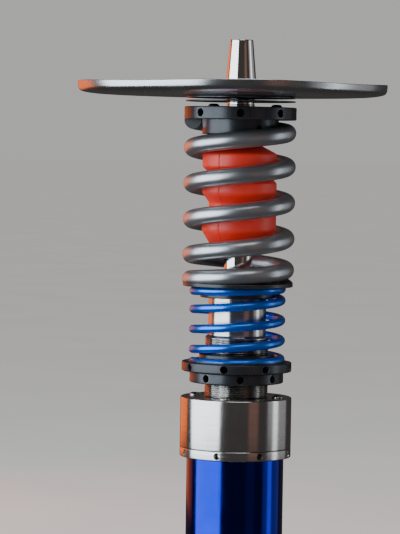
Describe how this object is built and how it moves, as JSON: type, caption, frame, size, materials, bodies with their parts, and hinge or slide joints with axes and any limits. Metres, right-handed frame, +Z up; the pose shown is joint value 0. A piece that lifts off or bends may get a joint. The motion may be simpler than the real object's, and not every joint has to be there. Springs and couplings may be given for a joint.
{
  "type": "coilover water-pipe column",
  "caption": "Coilover-style column: twin coil springs, adjuster rings and bump stop on a rod above a blue tubular vessel, topped by a wavy tray and spigot.",
  "frame": {"origin": "centre of the foot's underside", "axes": "+Z up the column's axis, -Y towards the front, hose socket towards +Y"},
  "size_m": [0.242, 0.242, 0.551],
  "materials": {
    "rubber_black": "matt",
    "steel_satin": "satin",
    "steel_brushed": "fine circumferential brushing",
    "steel_polished": "polished",
    "steel_mirror": "mirror polished",
    "screw_steel": "plain",
    "screw_black": "black oxide",
    "alloy_plain": "turned",
    "anodised_blue": "polished clear blue anodising",
    "anodised_black": "satin black anodising",
    "coat_blue": "gloss metallic coating",
    "coat_silver": "satin silver coating",
    "chrome_rod": "hard chrome",
    "bronze": "plain",
    "plastic_white": "plain",
    "elastomer_red": "satin moulded polyurethane",
    "tray_metal": "bead-blasted satin grey"
  },
  "bodies": {
    "column": {"foot_pad": "rubber_black", "foot_plate": "steel_satin", "foot_screws": "screw_steel", "base_plug": "alloy_plain", "plug_seal": "rubber_black", "vessel_tube": "anodised_blue", "tube_seal": "rubber_black", "clamp_ring": "steel_polished", "base_collar": "steel_brushed", "base_collar_screws": "screw_steel", "hose_socket": "steel_polished", "hose_socket_seal": "rubber_black", "purge_cap": "steel_polished", "threaded_sleeve": "steel_polished", "sleeve_seal": "rubber_black", "seal_head": "alloy_plain", "seal_head_ring": "rubber_black", "rod_bush": "bronze", "rod_seal": "rubber_black", "wiper_seal": "rubber_black"},
    "spring_seat": {"slip_ring": "anodised_black", "helper_spring": "coat_blue"},
    "seat_ring": {"seat_ring": "anodised_black"},
    "lock_ring": {"lock_ring": "anodised_black"},
    "divider": {"spring_divider": "anodised_black", "main_spring": "coat_silver"},
    "head": {"rod": "chrome_rod", "guide_piston": "alloy_plain", "piston_band": "plastic_white", "piston_nut": "screw_steel", "rebound_bumper": "rubber_black", "dip_tube": "steel_polished", "diffuser": "alloy_plain", "bump_stop": "elastomer_red", "bump_stop_washer": "anodised_black", "spring_perch": "anodised_black", "rod_set_screws": "screw_steel", "top_collar": "anodised_black", "top_collar_screws": "screw_black", "drip_disc": "anodised_black", "spacer_ring": "steel_polished", "tray_plate": "anodised_black", "spigot": "steel_mirror"},
    "tray_rest": {"tray_gasket": "rubber_black"},
    "tray": {"tray": "tray_metal"},
    "purge_ball": {"purge_ball": "steel_polished"}
  },
  "joints": [
    {"name": "seat_height", "type": "slide", "parent": "column", "child": "spring_seat", "axis": [0, 0, 1], "range_m": [-0.0045, 0.012]},
    {"name": "seat_turn", "type": "hinge", "parent": "spring_seat", "child": "seat_ring", "pos_m": [0, 0, 0.2966], "axis": [0, 0, 1], "range_deg": [-1082, 2882]},
    {"name": "lock_turn", "type": "hinge", "parent": "spring_seat", "child": "lock_ring", "pos_m": [0, 0, 0.2883], "axis": [0, 0, 1], "range_deg": [-1082, 2882]},
    {"name": "helper_compression", "type": "slide", "parent": "spring_seat", "child": "divider", "axis": [0, 0, 1], "range_m": [-0.017, 0], "stiffness_N_per_m": 15600, "springref_m": 0.005, "deforming": ["helper_spring"]},
    {"name": "main_compression", "type": "slide", "parent": "divider", "child": "head", "axis": [0, 0, 1], "range_m": [-0.005, 0], "stiffness_N_per_m": 195000, "springref_m": 0.0005, "deforming": ["main_spring"]},
    {"name": "tray_turn", "type": "hinge", "parent": "head", "child": "tray_rest", "pos_m": [0, 0, 0.5075], "axis": [0, 0, 1], "continuous": true},
    {"name": "tray_lift", "type": "slide", "parent": "tray_rest", "child": "tray", "axis": [0, 0, 1], "range_m": [0, 0.06]},
    {"name": "purge_lift", "type": "slide", "parent": "column", "child": "purge_ball", "axis": [0, 0, 1], "range_m": [0, 0.002]}
  ],
  "couplings": [
    {"joint": "seat_turn", "follows": "seat_height", "rad_per_m": 4188.8},
    {"joint": "lock_turn", "follows": "seat_height", "rad_per_m": 4188.8}
  ]
}
